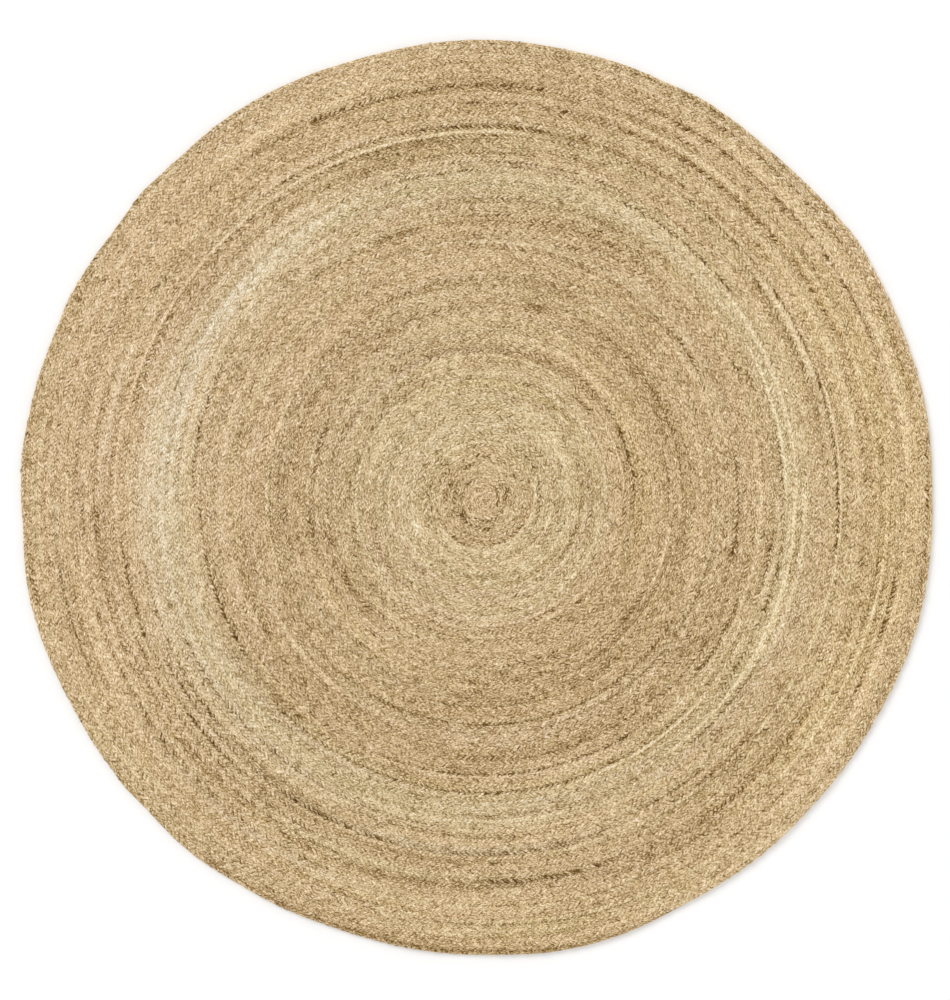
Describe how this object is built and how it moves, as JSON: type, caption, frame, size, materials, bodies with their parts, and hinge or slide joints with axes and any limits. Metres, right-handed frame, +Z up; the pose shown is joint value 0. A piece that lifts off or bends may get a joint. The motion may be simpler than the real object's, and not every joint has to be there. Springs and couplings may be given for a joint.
{
  "type": "round jute rug",
  "caption": "Round flat rug of one jute braid wound in a spiral and sewn turn to turn, to lie on a floor.",
  "frame": {"origin": "on the underside, under the middle of the rug's outline", "axes": "+Z up from the floor through the rug, +Y towards the top of the picture, +X to its right"},
  "size_m": [1.4992, 1.5054, 0.01],
  "materials": {
    "jute_braid": "undyed jute braid, matt, straw to tan with darker and paler turns"
  },
  "bodies": {
    "root": {"rug": "jute_braid"}
  },
  "joints": []
}
